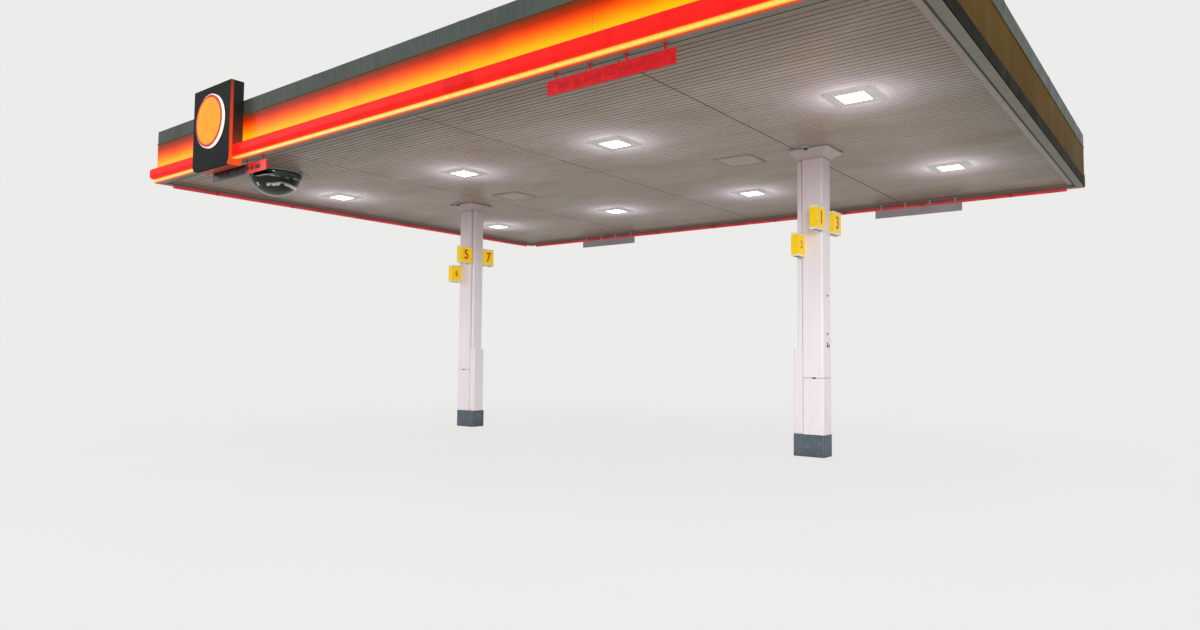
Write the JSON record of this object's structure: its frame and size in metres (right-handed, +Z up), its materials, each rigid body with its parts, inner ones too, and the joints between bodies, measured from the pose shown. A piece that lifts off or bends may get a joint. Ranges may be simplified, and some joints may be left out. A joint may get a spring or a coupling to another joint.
{
  "type": "filling station canopy",
  "caption": "Flat filling station canopy on two clad columns, with lit edge fascias, soffit downlights, clearance boards, a corner sign, number signs and a dome mirror.",
  "frame": {"origin": "on the ground, midway between the two columns", "axes": "+X runs along the long front edge towards the right-hand column, -Y is the front with the corner sign, +Z is up"},
  "size_m": [13.297, 10.2273, 5.68],
  "materials": {
    "soffit_white": "satin white coated planks",
    "fascia_yellow": "gloss yellow panel",
    "coping_grey": "satin grey flashing",
    "lens_red": "gloss red lens",
    "tube_red": "gloss red tube",
    "deck_grey": "weathered coated sheet",
    "lamp_white": "gloss white bezel with a lit lens",
    "hatch_white": "satin white",
    "board_red": "red sheet",
    "board_grey": "bare back of the sheet",
    "plate_charcoal": "satin charcoal",
    "emblem_yellow": "lit acrylic",
    "mirror_silver": "convex mirror dome",
    "casing_white": "gloss white cladding",
    "kick_blue_grey": "blue-grey paint, scuffed",
    "sign_yellow": "gloss yellow box",
    "camera_grey": "smoked dome"
  },
  "bodies": {
    "root": {"camera_left": "camera_grey", "camera_right": "camera_grey", "capital_left": "casing_white", "capital_right": "casing_white", "casing_left": "casing_white", "casing_right": "casing_white", "clearance_board_back_left": "board_grey", "clearance_board_back_right": "board_grey", "clearance_board_front_left": "board_red", "clearance_board_front_right": "board_red", "coping_back": "coping_grey", "coping_front": "coping_grey", "coping_left": "coping_grey", "coping_right": "coping_grey", "corner_emblem": "emblem_yellow", "corner_sign": "plate_charcoal", "dome_mirror": "mirror_silver", "downlight_1": "lamp_white", "downlight_2": "lamp_white", "downlight_3": "lamp_white", "downlight_4": "lamp_white", "downlight_5": "lamp_white", "downlight_6": "lamp_white", "downlight_7": "lamp_white", "downlight_8": "lamp_white", "duct_left": "casing_white", "duct_right": "casing_white", "edge_tube_back": "tube_red", "edge_tube_left": "tube_red", "fascia_back": "fascia_yellow", "fascia_front": "fascia_yellow", "fascia_left": "fascia_yellow", "fascia_right": "fascia_yellow", "guard_left": "casing_white", "guard_right": "casing_white", "hatch_1": "hatch_white", "hatch_2": "hatch_white", "kick_plate_left": "kick_blue_grey", "kick_plate_right": "kick_blue_grey", "light_bar_back": "lens_red", "light_bar_front": "lens_red", "light_bar_left": "lens_red", "light_bar_right": "plate_charcoal", "number_sign_1": "sign_yellow", "number_sign_2": "sign_yellow", "number_sign_3": "sign_yellow", "number_sign_4": "sign_yellow", "number_sign_5": "sign_yellow", "number_sign_6": "sign_yellow", "number_sign_7": "sign_yellow", "number_sign_8": "sign_yellow", "roof_deck": "deck_grey", "soffit_1": "soffit_white", "soffit_2": "soffit_white", "soffit_3": "soffit_white", "soffit_4": "soffit_white"}
  },
  "joints": []
}
